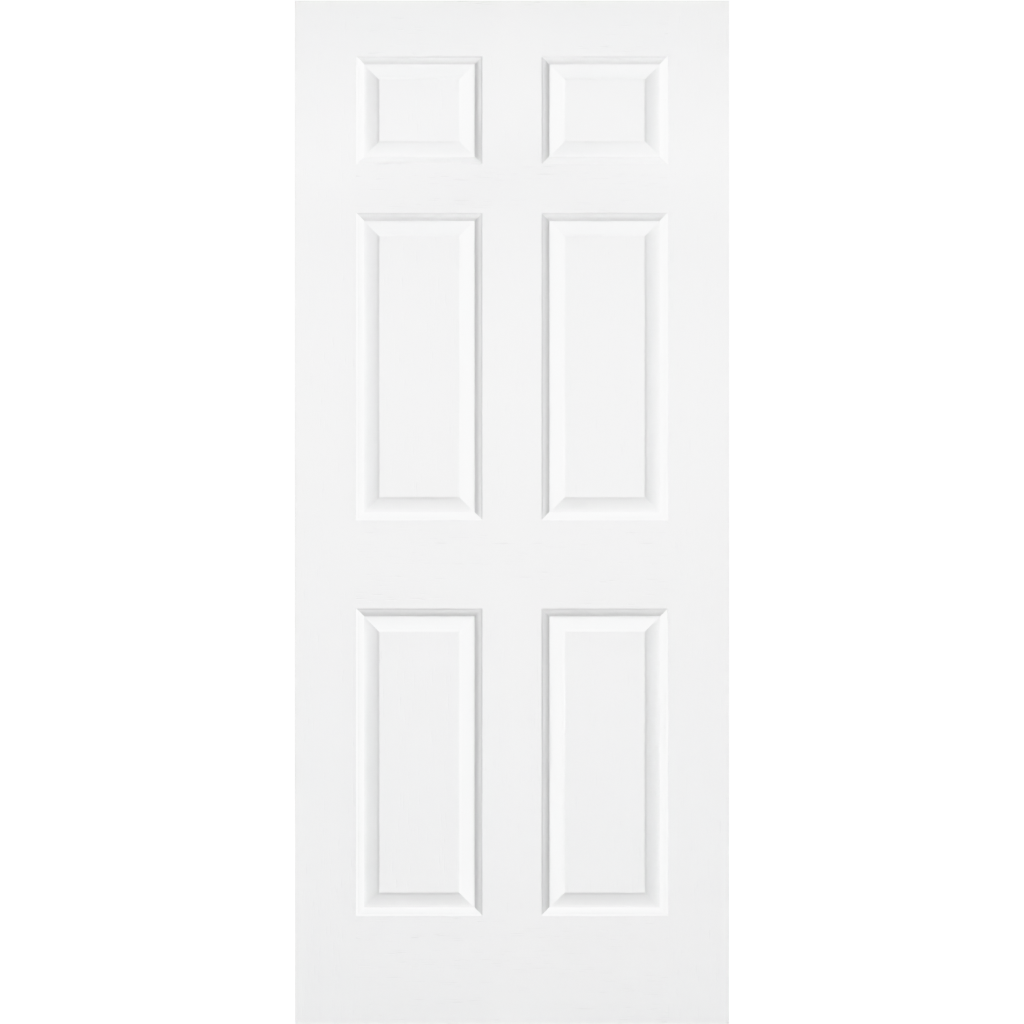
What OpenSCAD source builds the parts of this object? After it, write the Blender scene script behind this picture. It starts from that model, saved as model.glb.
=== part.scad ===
// Hollow-core six-panel door leaf. Two fibreboard skins, pressed with the panel mouldings, are
// glued over a softwood frame, with a lock block at each edge and paper honeycomb between them.
// The leaf stands upright: X is its width, Y its thickness with the front at -Y, Z its height.
// The origin is the middle of the bottom edge.

/* [Leaf] */
// Width of the leaf, edge to edge
leaf_w = 863.6; // [762:0.1:1067]
// Height of the leaf, bottom edge to top edge
leaf_h = 2032; // [1900:0.5:2438]
// Thickness of the leaf over both skins
leaf_t = 34.9; // [33:0.1:44.5]
// Thickness of the pressed sheet of each skin
skin_t = 3.2; // [2.6:0.1:4]
// Chamfer sanded on the outer edges of each skin
arris = 0.6; // [0.2:0.1:1.5]

/* [Face layout] */
// Face of each side stile, from the edge of the leaf to the panel opening
stile_face_w = 122.6; // [95:0.1:140]
// Face of the mullion between the two columns of panels
mullion_w = 117.4; // [70:0.1:140]
// Face of the top rail
top_rail_h = 111.8; // [85:0.1:140]
// Height of the two small panels at the top
top_panel_h = 213.8; // [170:0.1:300]
// Face of the frieze rail below the small panels
frieze_rail_h = 97; // [70:0.1:130]
// Face of the lock rail between the tall panels
lock_rail_h = 175.4; // [120:0.1:220]
// Face of the bottom rail
bottom_rail_h = 214.8; // [150:0.1:260]

/* [Moulding] */
// Depth of the small step where the moulding leaves the face
quirk_d = 1.9; // [1:0.1:2.5]
// Width over which that step slopes
quirk_w = 2.6; // [1:0.1:4]
// Width of the rounded moulding that runs down to the groove
ovolo_w = 12.6; // [10:0.1:18]
// Slope of the rounded moulding at the foot of the step, in degrees
ovolo_start = 12; // [0:0.5:16]
// Depth of the groove round the raised panel, below the face
groove_d = 10.2; // [8:0.1:11]
// Flat width of the groove
groove_w = 4; // [2:0.1:8]
// Width of the hollowed bevel that rises from the groove
bevel_w = 22.4; // [15:0.1:32]
// Slope of the bevel where it leaves the groove, in degrees
bevel_start = 9; // [4:0.5:12]
// Height of the step from the bevel up to the raised field
field_step_d = 2.1; // [1:0.1:3]
// Width over which that step slopes
field_step_w = 4; // [2:0.1:6]
// Depth of the raised field below the face
field_d = 2.5; // [0.5:0.1:3]

/* [Inner frame] */
// Width of each softwood stile, seen from the face
stile_w = 30; // [22:0.5:40]
// Height of the softwood rail along the top
top_rail_bar_h = 38; // [25:0.5:60]
// Height of the softwood rail along the bottom
bottom_rail_bar_h = 45; // [25:0.5:90]
// Height of each lock block
lock_block_h = 508; // [300:1:700]
// Middle of the lock blocks, above the bottom edge
lock_height = 914.4; // [850:0.1:1050]

/* [Core] */
// Width that each honeycomb cell is pulled open to, about
cell_w = 50; // [35:1:80]
// Thickness of the paper walls
cell_wall = 0.8; // [0.5:0.1:1.5]
// Gap left around each piece of core
core_gap = 0.5; // [0.3:0.1:0.9]

/* [Hidden] */

// Rows of panels, counted from the top, and columns as signs of X
TOP = 0;
MIDDLE = 1;
LOWER = 2;
LEFT = -1;
RIGHT = 1;

panel_w = (leaf_w - 2 * stile_face_w - mullion_w) / 2;
rails_h = top_rail_h + frieze_rail_h + lock_rail_h + bottom_rail_h;
tall_panel_h = (leaf_h - rails_h - top_panel_h) / 2;
panel_h = [top_panel_h, tall_panel_h, tall_panel_h];
lower_z = bottom_rail_h;
middle_z = lower_z + tall_panel_h + lock_rail_h;
top_z = middle_z + tall_panel_h + frieze_rail_h;
panel_z = [top_z, middle_z, lower_z];

// The moulding, across one side of a panel
sticking_w = quirk_w + ovolo_w;
ovolo_drop = groove_d - quirk_d;
ovolo_end = 2 * atan(ovolo_drop / ovolo_w) - ovolo_start;
ovolo_r = norm([ovolo_w, ovolo_drop]) / (2 * sin((ovolo_end - ovolo_start) / 2));
bevel_x = sticking_w + groove_w;
bevel_rise = groove_d - field_d - field_step_d;
bevel_foot = tan(bevel_start);
bevel_bow = (bevel_rise - bevel_w * bevel_foot) / (bevel_w * bevel_w);
field_slope = atan(field_step_d / field_step_w);
moulding_w = bevel_x + bevel_w + field_step_w;
// Straight runs that each curve of the moulding is drawn with
arc_steps = 8;
// How far sections run past the faces that trim them
over = 10;

// The cavity between the skins
cavity_t = leaf_t - 2 * skin_t;
field_cavity_t = cavity_t - 2 * field_d;
// How far outside an opening the back of the skin starts to dip
dip = sqrt(skin_t * skin_t - pow(skin_t - quirk_d, 2));
// How far inside the edge of a raised field its back is flat
field_lead = skin_t * tan(field_slope / 2);
// Inner edge of what lies behind a side stile, from the edge of the leaf
stile_zone_x = stile_face_w - dip - core_gap;
lock_block_z = lock_height - lock_block_h / 2;

// Left edge of a column of panels
function panel_x(side) = side == LEFT ? -mullion_w / 2 - panel_w : mullion_w / 2;

// The other half of a symmetrical outline
function mirrored(points, span) =
    [for (i = [len(points) - 1:-1:0]) [span - points[i].x, points[i].y]];

// The moulding from the face down to the groove, as [distance in from the opening, depth below the face],
// at the face of the sheet (back = 0) or at its back (back = skin_t)
function sticking(back) = concat(
    [[back == 0 ? 0 : -dip, back]],
    [for (i = [0:arc_steps])
        let (a = ovolo_start + (ovolo_end - ovolo_start) * i / arc_steps, r = ovolo_r - back)
        [quirk_w + r * sin(a) - ovolo_r * sin(ovolo_start),
         quirk_d + ovolo_r * cos(ovolo_start) - r * cos(a)]],
    back == 0 ? [] : [[sticking_w, groove_d + back]]
);

// The hollowed bevel, a parabola from the groove up to the raised field, in the same terms
function bevel(back) = concat(
    [[bevel_x + back * tan(bevel_start / 2), groove_d + back]],
    [for (i = [1:arc_steps])
        let (x = bevel_w * i / arc_steps, a = atan(bevel_foot + 2 * bevel_bow * x))
        [bevel_x + x + back * sin(a),
         groove_d - x * (bevel_foot + bevel_bow * x) + back * cos(a)]],
    [[moulding_w + (back == 0 ? 0 : field_lead), field_d + back]]
);

// What is common to a section run along the height and a section run along the width, so that the
// sides meet in mitres. The sections lie in X and depth, and start at the left or bottom edge.
module mitred(w, h) {
    intersection() {
        translate([0, 0, -over]) linear_extrude(h + 2 * over) children(0);
        translate([w + over, 0, 0]) rotate([0, -90, 0]) linear_extrude(w + 2 * over) children(1);
    }
}

// Section of the flat sheet, with its outer edges eased
module sheet_section(span) {
    polygon([[arris, 0], [span - arris, 0], [span, arris], [span, skin_t], [0, skin_t], [0, arris]]);
}

// Section of the sunk opening down to the groove. It reaches up to the depth top.
module sunk_section(span, back, top) {
    side = sticking(back);
    polygon(concat([[side[0].x, top]], side, mirrored(side, span), [[span - side[0].x, top]]));
}

// Section of the raised panel that stands in the opening
module raised_section(span, back) {
    side = bevel(back);
    foot = groove_d + back + over;
    polygon(concat([[side[0].x, foot]], side, mirrored(side, span), [[span - side[0].x, foot]]));
}

// The hollow of one panel: the sunk opening less the raised panel
module panel_hollow(h, back, top) {
    difference() {
        mitred(panel_w, h) {
            sunk_section(panel_w, back, top);
            sunk_section(h, back, top);
        }
        mitred(panel_w, h) {
            raised_section(panel_w, back);
            raised_section(h, back);
        }
    }
}

// Puts a copy of a panel's hollow in each of the six openings of a skin
module six_panels(back, top) {
    for (side = [LEFT, RIGHT])
        for (row = [TOP, MIDDLE, LOWER])
            translate([panel_x(side), 0, panel_z[row]]) panel_hollow(panel_h[row], back, top);
}

// One pressed skin, with its face at Y = 0 and its back towards +Y
module skin() {
    difference() {
        union() {
            translate([-leaf_w / 2, 0, 0]) mitred(leaf_w, leaf_h) {
                sheet_section(leaf_w);
                sheet_section(leaf_h);
            }
            six_panels(skin_t, skin_t / 2);
        }
        six_panels(0, -over);
    }
}

module front_skin() {
    color("white") translate([0, -leaf_t / 2, 0]) skin();
}

module back_skin() {
    color("white") rotate([0, 0, 180]) translate([0, -leaf_t / 2, 0]) skin();
}

// A stick of softwood between the skins, from its left and bottom edges
module timber(x, z, w, h) {
    color("burlywood") translate([x, -cavity_t / 2, z]) cube([w, cavity_t, h]);
}

// Full-height stile along one edge of the leaf
module stile(side) {
    timber(side == LEFT ? -leaf_w / 2 : leaf_w / 2 - stile_w, 0, stile_w, leaf_h);
}

// Rail between the stiles
module rail(z, h) {
    timber(-leaf_w / 2 + stile_w, z, leaf_w - 2 * stile_w, h);
}

// Block beside a stile that a lock is cut into
module lock_block(side) {
    w = stile_zone_x - stile_w;
    x = side == LEFT ? -leaf_w / 2 + stile_w : leaf_w / 2 - stile_zone_x;
    timber(x, lock_block_z, w, lock_block_h);
}

// One pulled-open paper cell
module cell(w, h) {
    polygon([[0, h / 2], [w / 2, h / 4], [w / 2, -h / 4], [0, -h / 2], [-w / 2, -h / 4], [-w / 2, h / 4]]);
}

// Piece of paper honeycomb, from its left and bottom edges, with its cells running from skin to skin
module honeycomb(x, z, w, h, t) {
    columns = max(1, round(w / cell_w));
    pitch_x = w / columns;
    rows = max(1, round(h / (pitch_x * sin(60))));
    pitch_z = h / rows;
    open = 1 - cell_wall / pitch_x;
    color("tan") translate([x, t / 2, z]) rotate([90, 0, 0]) linear_extrude(t) difference() {
        square([w, h]);
        intersection() {
            translate([cell_wall, cell_wall]) square([w - 2 * cell_wall, h - 2 * cell_wall]);
            for (row = [0:rows])
                for (column = [0:columns])
                    translate([(column + (row % 2) / 2) * pitch_x, row * pitch_z])
                        cell(pitch_x * open, pitch_z * open * 4 / 3);
        }
    }
}

// Core behind the raised field of one panel
module panel_core(side, row) {
    inset = moulding_w + field_lead + core_gap;
    w = panel_w - 2 * inset;
    h = panel_h[row] - 2 * inset;
    honeycomb(panel_x(side) + inset, panel_z[row] + inset, w, h, field_cavity_t);
}

// Core behind the mullion, beside one row of panels
module mullion_core(row) {
    w = mullion_w - 2 * (dip + core_gap);
    honeycomb(-w / 2, panel_z[row] - dip, w, panel_h[row] + 2 * dip, cavity_t);
}

// Core behind a rail, between two heights
module rail_core(low, high) {
    w = leaf_w - 2 * (stile_zone_x + core_gap);
    honeycomb(-w / 2, low, w, high - low, cavity_t);
}

// Core behind a side stile, between two heights
module stile_core(side, low, high) {
    w = stile_zone_x - stile_w - core_gap;
    x = side == LEFT ? -leaf_w / 2 + stile_w + core_gap : leaf_w / 2 - stile_zone_x;
    honeycomb(x, low, w, high - low, cavity_t);
}

// Heights where the core behind a rail or a stile starts and stops
function above_panels(row) = panel_z[row] + panel_h[row] + dip + core_gap;
function below_panels(row) = panel_z[row] - dip - core_gap;
above_bottom_rail = bottom_rail_bar_h + core_gap;
below_top_rail = leaf_h - top_rail_bar_h - core_gap;
below_lock_block = lock_block_z - core_gap;
above_lock_block = lock_block_z + lock_block_h + core_gap;

front_skin();
back_skin();
stile(LEFT);  // left_stile
stile(RIGHT);  // right_stile
rail(leaf_h - top_rail_bar_h, top_rail_bar_h);  // top_rail
rail(0, bottom_rail_bar_h);  // bottom_rail
lock_block(LEFT);  // left_lock_block
lock_block(RIGHT);  // right_lock_block
panel_core(LEFT, TOP);  // panel_core_top_left
panel_core(RIGHT, TOP);  // panel_core_top_right
panel_core(LEFT, MIDDLE);  // panel_core_middle_left
panel_core(RIGHT, MIDDLE);  // panel_core_middle_right
panel_core(LEFT, LOWER);  // panel_core_lower_left
panel_core(RIGHT, LOWER);  // panel_core_lower_right
mullion_core(TOP);  // mullion_core_top
mullion_core(MIDDLE);  // mullion_core_middle
mullion_core(LOWER);  // mullion_core_lower
rail_core(above_panels(TOP), below_top_rail);  // rail_core_top
rail_core(above_panels(MIDDLE), below_panels(TOP));  // rail_core_frieze
rail_core(above_panels(LOWER), below_panels(MIDDLE));  // rail_core_lock
rail_core(above_bottom_rail, below_panels(LOWER));  // rail_core_bottom
stile_core(LEFT, above_lock_block, below_top_rail);  // stile_core_left_upper
stile_core(LEFT, above_bottom_rail, below_lock_block);  // stile_core_left_lower
stile_core(RIGHT, above_lock_block, below_top_rail);  // stile_core_right_upper
stile_core(RIGHT, above_bottom_rail, below_lock_block);  // stile_core_right_lower
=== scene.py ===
import math

import bmesh
import bpy
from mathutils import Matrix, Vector


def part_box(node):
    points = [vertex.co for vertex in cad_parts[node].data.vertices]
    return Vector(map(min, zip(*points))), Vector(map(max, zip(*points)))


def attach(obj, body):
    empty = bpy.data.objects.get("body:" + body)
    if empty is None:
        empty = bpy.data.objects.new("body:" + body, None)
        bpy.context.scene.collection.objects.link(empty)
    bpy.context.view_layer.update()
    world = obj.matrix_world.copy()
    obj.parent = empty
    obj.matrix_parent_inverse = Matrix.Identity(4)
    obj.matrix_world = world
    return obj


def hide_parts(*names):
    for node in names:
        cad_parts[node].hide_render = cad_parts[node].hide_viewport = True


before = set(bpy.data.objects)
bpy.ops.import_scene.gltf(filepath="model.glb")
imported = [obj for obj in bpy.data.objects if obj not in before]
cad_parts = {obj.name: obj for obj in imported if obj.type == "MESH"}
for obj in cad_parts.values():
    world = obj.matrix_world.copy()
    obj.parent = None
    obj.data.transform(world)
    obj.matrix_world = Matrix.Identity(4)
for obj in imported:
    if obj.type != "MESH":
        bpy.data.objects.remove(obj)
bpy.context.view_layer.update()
bpy.ops.object.select_all(action="DESELECT")


# Timber frame
# Two full-height stiles and two rails of planed softwood make the rim of the leaf, and a block beside
# each stile takes the lock. They are sawn from boards, butted, and glued between the skins. The stiles
# and blocks stand with their grain upright, and the rails lie with it level.
PALE_WOOD = (0.76, 0.585, 0.375, 1)
LATE_WOOD = (0.56, 0.345, 0.165, 1)
PITH = (0, 0.052, 0.071)
ACROSS = (0, 1, 1)
RING_SPACING = 0.0042
RING_WANDER = 0.03
# Where the dark late wood of a ring begins and where it is darkest, as shares of the ring
LATE_START = 0.35
LATE_END = 0.9
# Noise along the grain and across it, in features a metre
WANDER_NOISE = (1.3, 14, 14)
FIBRE_NOISE = (28, 1500, 1500)
PATCH_NOISE = (2, 35, 35)
# How far late wood, fibres and patches darken the board
LATE_SHARE = 0.75
FIBRE_SHARE = 0.22
PATCH_SHARE = 0.16
FIBRE_SPAN = (0.25, 0.75)
WOOD_ROUGHNESS = (0.72, 0.52)
LATE_HEIGHT = 0.4
WOOD_RELIEF = 0.0001
WOOD_RELIEF_SHARE = 0.5
# Span that most of a noise lies in
NOISE_SPAN = (0.3, 0.7)
# The Mix node's sockets for colours go by number, because their names repeat
MIX_INPUTS = (0, 6, 7)
MIX_RESULT = 2


def set_input(tree, socket, value):
    """Gives an input its value, or links it to the socket of another node."""
    if isinstance(value, bpy.types.NodeSocket):
        tree.links.new(value, socket)
    else:
        socket.default_value = value


def add_node(tree, kind, inputs=None, **settings):
    """Adds a node. Inputs are values, or the sockets of other nodes, which are linked."""
    node = tree.nodes.new(kind)
    for name, value in settings.items():
        setattr(node, name, value)
    for name, value in (inputs or {}).items():
        set_input(tree, node.inputs[name], value)
    return node


def add_math(tree, operation, first, second=0.0, third=0.0):
    """Adds a Math node and gives its result."""
    inputs = {0: first, 1: second, 2: third}
    return add_node(tree, "ShaderNodeMath", inputs, operation=operation).outputs[0]


def add_vector_math(tree, operation, first, second=(0, 0, 0)):
    """Adds a Vector Math node and gives its outputs."""
    return add_node(tree, "ShaderNodeVectorMath", {0: first, 1: second}, operation=operation).outputs


def add_noise(tree, vector, stretch, detail=2.0):
    """Adds noise on a vector that is scaled by stretch, in features a metre, and gives its value."""
    scaled = add_vector_math(tree, "MULTIPLY", vector, stretch)[0]
    inputs = {"Vector": scaled, "Scale": 1.0, "Detail": detail}
    return add_node(tree, "ShaderNodeTexNoise", inputs).outputs["Fac"]


def add_span(tree, value, low, high, to_low=0.0, to_high=1.0):
    """Maps a value from one span to another, smoothly and without passing its ends."""
    names = ("Value", "From Min", "From Max", "To Min", "To Max")
    inputs = dict(zip(names, (value, low, high, to_low, to_high)))
    return add_node(tree, "ShaderNodeMapRange", inputs, interpolation_type="SMOOTHSTEP").outputs["Result"]


def add_mix(tree, share, first, second):
    """Mixes two colours and gives the result."""
    node = add_node(tree, "ShaderNodeMix", data_type="RGBA")
    for number, value in zip(MIX_INPUTS, (share, first, second)):
        set_input(tree, node.inputs[number], value)
    return node.outputs[MIX_RESULT]


def add_relief(tree, height, distance, strength):
    """Adds a bump of a height and gives its normal."""
    inputs = {"Height": height, "Distance": distance, "Strength": strength}
    return add_node(tree, "ShaderNodeBump", inputs).outputs[0]


def new_group(name, inputs, outputs):
    """Starts a shader node group with the named sockets, and gives it with its two ends."""
    group = bpy.data.node_groups.new(name, "ShaderNodeTree")
    for label, kind in inputs:
        group.interface.new_socket(label, in_out="INPUT", socket_type=kind)
    for label, kind in outputs:
        group.interface.new_socket(label, in_out="OUTPUT", socket_type=kind)
    return group, group.nodes.new("NodeGroupInput").outputs, group.nodes.new("NodeGroupOutput").inputs


def new_material(name):
    """Starts a material, and gives it with its tree and its shader's inputs."""
    material = bpy.data.materials.new(name)
    material.use_nodes = True
    return material, material.node_tree, material.node_tree.nodes["Principled BSDF"].inputs


def set_surface(tree, shader, colour, roughness, normal):
    """Links a shader's colour, roughness and normal."""
    tree.links.new(colour, shader["Base Color"])
    tree.links.new(roughness, shader["Roughness"])
    tree.links.new(normal, shader["Normal"])


def dress(piece, *materials):
    """Gives a piece these materials in place of what it has."""
    piece.data.materials.clear()
    for material in materials:
        piece.data.materials.append(material)


# Figure of plain-sawn softwood: the vector's X runs along the grain, in metres
wood_figure, given, result = new_group(
    "softwood figure",
    [("Vector", "NodeSocketVector"), ("Pale", "NodeSocketColor"), ("Late", "NodeSocketColor")],
    [("Color", "NodeSocketColor"), ("Roughness", "NodeSocketFloat"), ("Height", "NodeSocketFloat")],
)
wander = add_noise(wood_figure, given["Vector"], WANDER_NOISE)
off_pith = add_vector_math(wood_figure, "SUBTRACT", given["Vector"], PITH)[0]
off_pith = add_vector_math(wood_figure, "MULTIPLY", off_pith, ACROSS)[0]
radius = add_vector_math(wood_figure, "LENGTH", off_pith)["Value"]
radius = add_math(wood_figure, "MULTIPLY_ADD", wander, RING_WANDER, radius)
ring = add_math(wood_figure, "FRACT", add_math(wood_figure, "DIVIDE", radius, RING_SPACING))
darkening = add_span(wood_figure, ring, LATE_START, LATE_END)
ending = add_span(wood_figure, ring, LATE_END, 1, 1, 0)
late = add_math(wood_figure, "MULTIPLY", darkening, ending)
fibre = add_noise(wood_figure, given["Vector"], FIBRE_NOISE, 3.0)
patch = add_noise(wood_figure, given["Vector"], PATCH_NOISE, 1.0)
late_share = add_math(wood_figure, "MULTIPLY", late, LATE_SHARE)
fibre_share = add_span(wood_figure, fibre, *NOISE_SPAN, 0, FIBRE_SHARE)
patch_share = add_span(wood_figure, patch, *NOISE_SPAN, 0, PATCH_SHARE)
colour = add_mix(wood_figure, late_share, given["Pale"], given["Late"])
colour = add_mix(wood_figure, fibre_share, colour, given["Late"])
colour = add_mix(wood_figure, patch_share, colour, given["Late"])
wood_figure.links.new(colour, result["Color"])
wood_figure.links.new(add_span(wood_figure, fibre, *FIBRE_SPAN, *WOOD_ROUGHNESS), result["Roughness"])
wood_figure.links.new(add_math(wood_figure, "MULTIPLY_ADD", late, LATE_HEIGHT, fibre), result["Height"])


def softwood(name, turn, shift):
    """Planed softwood whose grain a turn brings along X, cut from its own part of the board."""
    material, tree, shader = new_material(name)
    place = add_node(tree, "ShaderNodeTexCoord").outputs["Object"]
    board = add_node(tree, "ShaderNodeMapping", {"Vector": place, "Rotation": turn, "Location": shift})
    inputs = {"Vector": board.outputs[0], "Pale": PALE_WOOD, "Late": LATE_WOOD}
    figure = add_node(tree, "ShaderNodeGroup", inputs, node_tree=wood_figure).outputs
    relief = add_relief(tree, figure["Height"], WOOD_RELIEF, WOOD_RELIEF_SHARE)
    set_surface(tree, shader, figure["Color"], figure["Roughness"], relief)
    return material


UPRIGHT = (0, math.radians(90), 0)
LEVEL = (0, 0, 0)
for node, turn, shift in (
    ("left_stile", UPRIGHT, (0, 0, -0.43)),
    ("right_stile", UPRIGHT, (3, 0, 0.43)),
    ("top_rail", LEVEL, (1, 0, -2.03)),
    ("bottom_rail", LEVEL, (5, 0, -0.02)),
    ("left_lock_block", UPRIGHT, (7, 0.02, -0.31)),
    ("right_lock_block", UPRIGHT, (9, 0.02, 0.31)),
):
    dress(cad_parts[node], softwood(node + " softwood", turn, shift))


# Honeycomb
# Strips of brown kraft paper, glued in lines and pulled open into six-sided cells, hold the skins
# apart. Each piece is cut to a flat part of the leaf, and the skins are glued to its edges.
KRAFT_BROWN = (0.46, 0.31, 0.18, 1)
KRAFT_PALE = (0.6, 0.43, 0.27, 1)
CLOUD_NOISE = (90, 90, 90)
FLECK_NOISE = (900, 900, 2600)
FLECK_SPAN = (0.58, 0.7)
FLECK_SHARE = 0.35
KRAFT_ROUGHNESS = (0.8, 0.92)
KRAFT_RELIEF = 0.00005
KRAFT_RELIEF_SHARE = 0.4

kraft, tree, shader = new_material("kraft paper")
place = add_node(tree, "ShaderNodeTexCoord").outputs["Object"]
cloud = add_noise(tree, place, CLOUD_NOISE, 4.0)
fleck = add_noise(tree, place, FLECK_NOISE)
paper = add_mix(tree, cloud, KRAFT_BROWN, KRAFT_PALE)
paper = add_mix(tree, add_span(tree, fleck, *FLECK_SPAN, 0, FLECK_SHARE), paper, KRAFT_PALE)
roughness = add_span(tree, cloud, *NOISE_SPAN, *KRAFT_ROUGHNESS)
set_surface(tree, shader, paper, roughness, add_relief(tree, fleck, KRAFT_RELIEF, KRAFT_RELIEF_SHARE))
for node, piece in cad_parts.items():
    if "_core_" in node:
        dress(piece, kraft)


# Pressed skins
# Each face of the leaf is one sheet of fibreboard, pressed in a heated die that forms the six raised
# panels, their mouldings and a fine wood grain. It is primed white on its face, and glued to the frame
# and the honeycomb. Its back and its sawn edges stay bare brown board.
skin_low, skin_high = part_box("front_skin")
LEAF_W = skin_high.x - skin_low.x
LEAF_H = skin_high.z - skin_low.z
FACE_Y = skin_low.y
SKIN_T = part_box("left_stile")[0].y - FACE_Y
ARRIS = 0.0006
STILE_W = 0.1226
MULLION_W = 0.1174
TOP_RAIL_H = 0.1118
TOP_PANEL_H = 0.2138
FRIEZE_RAIL_H = 0.097
LOCK_RAIL_H = 0.1754
BOTTOM_RAIL_H = 0.2148
PANEL_W = (LEAF_W - 2 * STILE_W - MULLION_W) / 2
RAILS_H = TOP_RAIL_H + FRIEZE_RAIL_H + LOCK_RAIL_H + BOTTOM_RAIL_H
TALL_PANEL_H = (LEAF_H - RAILS_H - TOP_PANEL_H) / 2
MIDDLE_Z = BOTTOM_RAIL_H + TALL_PANEL_H + LOCK_RAIL_H
TOP_Z = MIDDLE_Z + TALL_PANEL_H + FRIEZE_RAIL_H
COLUMNS = ((-MULLION_W / 2 - PANEL_W, -MULLION_W / 2), (MULLION_W / 2, MULLION_W / 2 + PANEL_W))
ROWS = (
    (BOTTOM_RAIL_H, BOTTOM_RAIL_H + TALL_PANEL_H),
    (MIDDLE_Z, MIDDLE_Z + TALL_PANEL_H),
    (TOP_Z, TOP_Z + TOP_PANEL_H),
)

# The moulding across one side of a panel, from the opening to the raised field
QUIRK_W = 0.0026
QUIRK_D = 0.0019
OVOLO_W = 0.0126
OVOLO_START = math.radians(12)
GROOVE_D = 0.0102
GROOVE_W = 0.004
BEVEL_W = 0.0224
BEVEL_START = math.radians(9)
FIELD_STEP_D = 0.0021
FIELD_STEP_W = 0.004
FIELD_D = 0.0025
STICKING_W = QUIRK_W + OVOLO_W
BEVEL_X = STICKING_W + GROOVE_W
MOULDING_W = BEVEL_X + BEVEL_W + FIELD_STEP_W
OVOLO_DROP = GROOVE_D - QUIRK_D
OVOLO_END = 2 * math.atan(OVOLO_DROP / OVOLO_W) - OVOLO_START
OVOLO_R = math.hypot(OVOLO_W, OVOLO_DROP) / (2 * math.sin((OVOLO_END - OVOLO_START) / 2))
BEVEL_FOOT = math.tan(BEVEL_START)
BEVEL_BOW = (GROOVE_D - FIELD_D - FIELD_STEP_D - BEVEL_W * BEVEL_FOOT) / BEVEL_W ** 2
ARC_STEPS = 10
# Flat strip kept beside each moulding, so that the smooth shading of its edge stays in it
HOLD_W = 0.0008
# Radius that the die leaves at each corner of the face
EDGE_R = 0.0015
CREASE_R = 0.0012
GROOVE_R = 0.0007
BEVEL_R = 0.024
STEP_R = 0.006
FIELD_R = 0.005
EASE_STEPS = 4
# Lengths that differ by less than these are the same
NEAR = 1e-5
MITRE_NEAR = 1e-6
SMOOTH_ANGLE = math.radians(30)


def moulding(back):
    """The moulding as (distance in from the opening, depth below the face, radius of the corner).

    It is the face of the sheet if back is 0, or else its back, that far behind.
    """
    dip = math.sqrt(back ** 2 - (back - QUIRK_D) ** 2) if back else 0
    outline = [(-dip - HOLD_W, back, 0), (-dip, back, EDGE_R)]
    for step in range(ARC_STEPS):
        turn = OVOLO_START + (OVOLO_END - OVOLO_START) * step / ARC_STEPS
        x = QUIRK_W + (OVOLO_R - back) * math.sin(turn) - OVOLO_R * math.sin(OVOLO_START)
        depth = QUIRK_D + OVOLO_R * math.cos(OVOLO_START) - (OVOLO_R - back) * math.cos(turn)
        outline.append((x, depth, 0 if step else CREASE_R))
    outline.append((STICKING_W, GROOVE_D + back, GROOVE_R))
    outline.append((BEVEL_X + back * math.tan(BEVEL_START / 2), GROOVE_D + back, BEVEL_R))
    for step in range(1, ARC_STEPS + 1):
        run = BEVEL_W * step / ARC_STEPS
        turn = math.atan(BEVEL_FOOT + 2 * BEVEL_BOW * run)
        rise = run * (BEVEL_FOOT + BEVEL_BOW * run)
        x = BEVEL_X + run + back * math.sin(turn)
        depth = GROOVE_D - rise + back * math.cos(turn)
        outline.append((x, depth, STEP_R if step == ARC_STEPS else 0))
    field_x = MOULDING_W + back * math.tan(math.atan(FIELD_STEP_D / FIELD_STEP_W) / 2)
    return outline + [(field_x, FIELD_D + back, FIELD_R), (field_x + FIELD_R, FIELD_D + back, 0)]


def ease(outline):
    """The outline with each corner that has a radius turned into a short curve."""
    points = []
    for index, (x, depth, radius) in enumerate(outline):
        corner = Vector((x, depth))
        if not radius:
            points.append(corner)
            continue
        before = Vector(outline[index - 1][:2]) - corner
        after = Vector(outline[index + 1][:2]) - corner
        reach = radius / math.tan(before.angle(after) / 2)
        start = corner + before.normalized() * reach
        end = corner + after.normalized() * reach
        for step in range(EASE_STEPS + 1):
            share = step / EASE_STEPS
            points.append(start.lerp(corner, share).lerp(corner.lerp(end, share), share))
    return points


def in_opening(place):
    """Whether a place on the leaf lies in one of the six openings."""
    across = any(left < place.x < right for left, right in COLUMNS)
    return across and any(low < place.z < high for low, high in ROWS)


def press_sheet(outline):
    """A flat sheet as large as the leaf, with the outline pressed into its six openings ring by ring."""
    edge_x, sheet_depth = outline[0]
    middle = (0, FACE_Y + sheet_depth, LEAF_H / 2)
    bpy.ops.mesh.primitive_plane_add(size=1, location=middle, rotation=(math.radians(90), 0, 0))
    sheet = bpy.context.object
    sheet.scale = (LEAF_W, LEAF_H, 1)
    bpy.ops.object.transform_apply(location=True, rotation=True, scale=True)
    bpy.ops.object.mode_set(mode="EDIT")
    for spans, axis in ((COLUMNS, (1, 0, 0)), (ROWS, (0, 0, 1))):
        for low, high in spans:
            for line in (low + edge_x, high - edge_x):
                bpy.ops.mesh.select_all(action="SELECT")
                bpy.ops.mesh.bisect(plane_co=Vector(axis) * line, plane_no=axis)
    bpy.ops.mesh.select_mode(type="FACE")
    bpy.ops.mesh.select_all(action="DESELECT")
    shape = bmesh.from_edit_mesh(sheet.data)
    for face in shape.faces:
        face.select_set(in_opening(face.calc_center_median()))
    bmesh.update_edit_mesh(sheet.data)
    for (x, depth), (next_x, next_depth) in zip(outline, outline[1:]):
        bpy.ops.mesh.inset(thickness=next_x - x, depth=depth - next_depth, use_individual=True)
    bpy.ops.object.mode_set(mode="OBJECT")
    return sheet


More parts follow.
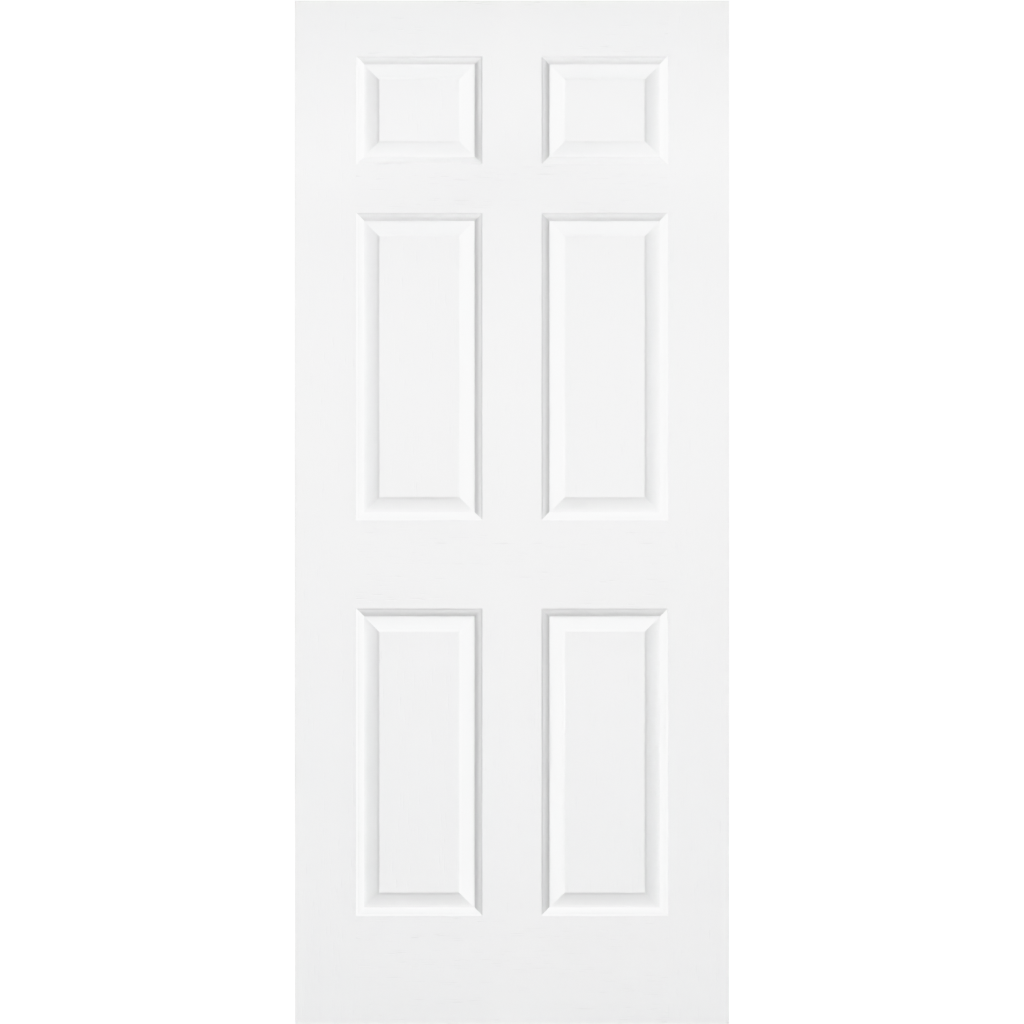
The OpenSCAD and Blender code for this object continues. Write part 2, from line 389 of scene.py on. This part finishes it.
def select_rim(sheet, y):
    """Selects the edges of the sheet's outline at one depth."""
    bpy.ops.mesh.select_mode(type="EDGE")
    bpy.ops.mesh.select_all(action="DESELECT")
    shape = bmesh.from_edit_mesh(sheet.data)
    for edge in shape.edges:
        middle = (edge.verts[0].co + edge.verts[1].co) / 2
        outer = abs(abs(middle.x) - LEAF_W / 2) < NEAR or min(middle.z, LEAF_H - middle.z) < NEAR
        edge.select_set(outer and all(abs(corner.co.y - y) < NEAR for corner in edge.verts))
    bmesh.update_edit_mesh(sheet.data)


def select_mitres(sheet):
    """Selects the edges that run slantwise down the corners of the openings."""
    bpy.ops.mesh.select_all(action="DESELECT")
    shape = bmesh.from_edit_mesh(sheet.data)
    for edge in shape.edges:
        run = edge.verts[1].co - edge.verts[0].co
        slant = min(abs(run.x), abs(run.z)) > NEAR
        edge.select_set(slant and abs(abs(run.x) - abs(run.z)) < MITRE_NEAR)
    bmesh.update_edit_mesh(sheet.data)


back_sheet = press_sheet([(x, depth) for x, depth, radius in moulding(SKIN_T)])
front_skin = press_sheet(ease(moulding(0)))
front_skin.name = "pressed_front_skin"
back_sheet.select_set(True)
bpy.ops.object.join()
bpy.ops.object.mode_set(mode="EDIT")
bpy.ops.mesh.select_mode(type="EDGE")
bpy.ops.mesh.select_all(action="DESELECT")
bpy.ops.mesh.select_non_manifold(extend=False)
bpy.ops.mesh.bridge_edge_loops()
bpy.ops.mesh.select_all(action="SELECT")
bpy.ops.mesh.normals_make_consistent(inside=False)
select_rim(front_skin, FACE_Y)
bpy.ops.mesh.bevel(offset=ARRIS, segments=1)
select_mitres(front_skin)
bpy.ops.mesh.mark_sharp()
bpy.ops.object.mode_set(mode="OBJECT")
bpy.ops.object.shade_smooth_by_angle(angle=SMOOTH_ANGLE)

# The grain's own map: U runs along the grain and V across it, in metres. It stands upright on stiles,
# mullion and panels, and lies level on the rails and on the mouldings above and below each field. It is
# pressed deepest into the rails, and is faint on the mouldings.
RAIL_RELIEF = 0.9
FLAT_RELIEF = 0.45
MOULDING_RELIEF = 0.02
# A face is flat if its normal's Y is below this, and is primed if it is below the other
FLAT_NORMAL_Y = -0.999
PRIMED_NORMAL_Y = -0.2
# Shift along U that gives the rails a grain of their own
RAIL_SHIFT = 3


def lies_level(place):
    """Whether the grain lies level at a place on the leaf."""
    if in_opening(place):
        rise = min(abs(place.z - edge) for row in ROWS for edge in row)
        side = min(abs(abs(place.x) - edge) for edge in COLUMNS[1])
        return rise < side and rise < MOULDING_W
    return abs(place.x) < COLUMNS[1][1] and not any(low < place.z < high for low, high in ROWS)


skin_mesh = front_skin.data
grain_map = skin_mesh.uv_layers.new(name="grain")
grain_relief = skin_mesh.attributes.new("grain_relief", "FLOAT", "FACE")
for face in skin_mesh.polygons:
    level = lies_level(face.center)
    flat_relief = RAIL_RELIEF if level else FLAT_RELIEF
    grain_relief.data[face.index].value = flat_relief if face.normal.y < FLAT_NORMAL_Y else MOULDING_RELIEF
    for corner in face.loop_indices:
        place = skin_mesh.vertices[skin_mesh.loops[corner].vertex_index].co
        grain_map.data[corner].uv = (place.x + RAIL_SHIFT, place.z) if level else (place.z, place.x)

# White primer over the pressed grain: short ticks in bands, over fine fibres. The ticks are painted a little
# greyer, as painted shade in their hollows
PRIMER_WHITE = (0.86, 0.86, 0.86, 1)
# Grey of the painted shade in the ticks; the primer itself is even
PAINTED_TICK_SHADE = (0.8, 0.8, 0.8, 1)
BAND_NOISE = (2.5, 55, 1)
BAND_SPAN = (0.42, 0.62)
TICK_NOISE = (24, 420, 1)
TICK_SPAN = (0.62, 0.7)
PRESSED_FIBRE_NOISE = (70, 2600, 1)
PRESSED_FIBRE_SHARE = 0.12
GRAIN_DEPTH = 0.0004
PRIMER_ROUGHNESS = (0.58, 0.7)
PRIMER_SHINE = 0.3

primer, tree, shader = new_material("white primer")
grain = add_node(tree, "ShaderNodeUVMap", uv_map="grain").outputs["UV"]
bands = add_span(tree, add_noise(tree, grain, BAND_NOISE), *BAND_SPAN)
ticks = add_span(tree, add_noise(tree, grain, TICK_NOISE, 1.0), *TICK_SPAN)
fibres = add_noise(tree, grain, PRESSED_FIBRE_NOISE)
pores = add_math(tree, "MULTIPLY", ticks, bands)
height = add_math(tree, "SUBTRACT", add_math(tree, "MULTIPLY", fibres, PRESSED_FIBRE_SHARE), pores)
pressed = add_node(tree, "ShaderNodeAttribute", attribute_name="grain_relief").outputs["Fac"]
# Painted shade: the ticks are painted greyer, the more so where the grain is pressed deeper
colour = add_mix(tree, add_math(tree, "MULTIPLY", pores, pressed), PRIMER_WHITE, PAINTED_TICK_SHADE)
roughness = add_span(tree, fibres, *NOISE_SPAN, *PRIMER_ROUGHNESS)
set_surface(tree, shader, colour, roughness, add_relief(tree, height, GRAIN_DEPTH, pressed))
shader["Specular IOR Level"].default_value = PRIMER_SHINE

# The bare board of the edges and the back, in fine specks and pressed layers
BOARD_BROWN = (0.3, 0.185, 0.1, 1)
BOARD_PALE = (0.44, 0.3, 0.18, 1)
SPECK_NOISE = (1400, 1400, 1400)
LAYER_NOISE = (40, 900, 40)
BOARD_ROUGHNESS = (0.75, 0.9)
BOARD_RELIEF = 0.00008
BOARD_RELIEF_SHARE = 0.5

board, tree, shader = new_material("bare fibreboard")
place = add_node(tree, "ShaderNodeTexCoord").outputs["Object"]
speck = add_noise(tree, place, SPECK_NOISE, 3.0)
layer = add_noise(tree, place, LAYER_NOISE)
colour = add_mix(tree, add_math(tree, "MULTIPLY", speck, layer), BOARD_BROWN, BOARD_PALE)
roughness = add_span(tree, speck, *NOISE_SPAN, *BOARD_ROUGHNESS)
set_surface(tree, shader, colour, roughness, add_relief(tree, speck, BOARD_RELIEF, BOARD_RELIEF_SHARE))

dress(front_skin, primer, board)
for face in skin_mesh.polygons:
    face.material_index = 0 if face.normal.y < PRIMED_NORMAL_Y else 1

bpy.ops.object.duplicate()
back_skin = bpy.context.object
back_skin.name = "pressed_back_skin"
back_skin.rotation_euler = (0, 0, math.pi)
bpy.ops.object.transform_apply(location=False, rotation=True, scale=False)
for skin, node in ((front_skin, "front_skin"), (back_skin, "back_skin")):
    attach(skin, "root")
    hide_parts(node)


# Floor
# A plain pale studio floor that the leaf stands on, painted matt white. The light that it would throw
# back is kept off the leaf.
FLOOR_R = 9
FLOOR_SIDES = 128
FLOOR_PALE = (0.93, 0.93, 0.93, 1)
FLOOR_SHADE = (0.9, 0.9, 0.9, 1)
FLOOR_NOISE = (2, 2, 2)
FLOOR_ROUGHNESS = 0.9

bpy.ops.mesh.primitive_circle_add(vertices=FLOOR_SIDES, radius=FLOOR_R, fill_type="NGON", location=(0, 0, 0))
floor = bpy.context.object
floor.name = "studio_floor"
matt, tree, shader = new_material("matt floor")
place = add_node(tree, "ShaderNodeTexCoord").outputs["Object"]
colour = add_mix(tree, add_noise(tree, place, FLOOR_NOISE), FLOOR_PALE, FLOOR_SHADE)
tree.links.new(colour, shader["Base Color"])
shader["Roughness"].default_value = FLOOR_ROUGHNESS
dress(floor, matt)
floor.visible_diffuse = False


# Studio light
# A large soft light in front, a steep one above and a faint low one. A gridded strip at each side, with a
# small one above it, reaches only the far half of the front skin, so that each column of panels is lit
# from the middle. More lights keep the floor white, and show the back and the edges.
def add_light(name, place, aim, size, power, spread=180, only=None):
    """Adds an area light at a place, turned to its aim, and held to one object if that is given."""
    bpy.ops.object.light_add(type="AREA", location=place)
    light = bpy.context.object
    light.name = name
    light.rotation_euler = (Vector(aim) - Vector(place)).to_track_quat("-Z", "Y").to_euler()
    light.data.shape = "RECTANGLE"
    light.data.size, light.data.size_y = size
    light.data.energy = power
    light.data.spread = math.radians(spread)
    light.visible_camera = False
    if only:
        lit = bpy.data.collections.new(name + "_lit")
        lit.objects.link(only)
        light.light_linking.receiver_collection = lit


add_light("front_light", place=(0, -8, 1.4), aim=(0, 0, 1.2), size=(4, 2.4), power=281)
add_light("top_light", place=(0, -1.6, 3.5), aim=(0, 0, -0.2), size=(3, 0.5), power=6.6, spread=50)
add_light("low_light", place=(0, -2.5, 0.1), aim=(0, 0, 1.9), size=(3, 0.5), power=1.2, spread=40)
add_light("floor_light", place=(0, 0, 6), aim=(0, 0, 0), size=(20, 20), power=3400, spread=20, only=floor)
add_light("back_light", place=(1.5, 6, 1.6), aim=(0, 0, 1), size=(3, 2.4), power=190)
add_light("back_top_light", place=(0, 2, 4), aim=(0, 0, 0.2), size=(3, 0.6), power=18, spread=90)
for name, side in (("left", -1), ("right", 1)):
    add_light(
        name + "_strip",
        place=(side * 1.95, -2, 1.5),
        aim=(-side * 0.441, 0, 1),
        size=(0.54, 2.6),
        power=2.45,
        spread=1,
        only=front_skin,
    )
    add_light(
        name + "_upper_strip",
        place=(side * 1.6, -1.7, 2.9),
        aim=(-side * 0.44, 0, 1.95),
        size=(0.54, 0.6),
        power=0.13,
        spread=5,
        only=front_skin,
    )
    add_light(name + "_edge_light", place=(side * 5, 0.8, 1.6), aim=(0, 0.3, 1), size=(1, 2), power=60)

# Dim fill from all round, and a white background for the camera
FILL = 0.04
BACKGROUND = 2.1
world = bpy.data.worlds.new("studio")
bpy.context.scene.world = world
world.use_nodes = True
sky = world.node_tree.nodes["Background"].inputs
seen = add_node(world.node_tree, "ShaderNodeLightPath").outputs["Is Camera Ray"]
strength = add_span(world.node_tree, seen, 0, 1, FILL, BACKGROUND)
world.node_tree.links.new(strength, sky["Strength"])
sky["Color"].default_value = (1, 1, 1, 1)

# The brightest tones are rolled off gently, as on film, so that lit mouldings keep their shape
SHOULDER = ((0.86, 0.86), (0.9, 0.892), (0.95, 0.922), (1, 0.943), (1.1, 0.965))
SHOULDER_END = 1.6
ALL_CHANNELS = 3
view = bpy.context.scene.view_settings
view.view_transform = "Standard"
view.use_curve_mapping = True
view.curve_mapping.clip_max_x = SHOULDER_END
tones = view.curve_mapping.curves[ALL_CHANNELS].points
tones[1].location = (SHOULDER_END, 1)
for linear, shown in SHOULDER:
    tones.new(linear, shown)
for point in tones:
    point.handle_type = "VECTOR"
view.curve_mapping.update()


# Camera
# A long lens, level with the middle of the leaf and square to it. The leaf fills the picture from its
# top to its bottom.
LENS = 200
SENSOR = 36
CLIP_END = 100
camera_place = (0, FACE_Y - LEAF_H * LENS / SENSOR, LEAF_H / 2)
bpy.ops.object.camera_add(location=camera_place, rotation=(math.radians(90), 0, 0))
camera = bpy.context.object
camera.data.lens = LENS
camera.data.sensor_width = SENSOR
camera.data.clip_end = CLIP_END
bpy.context.scene.camera = camera
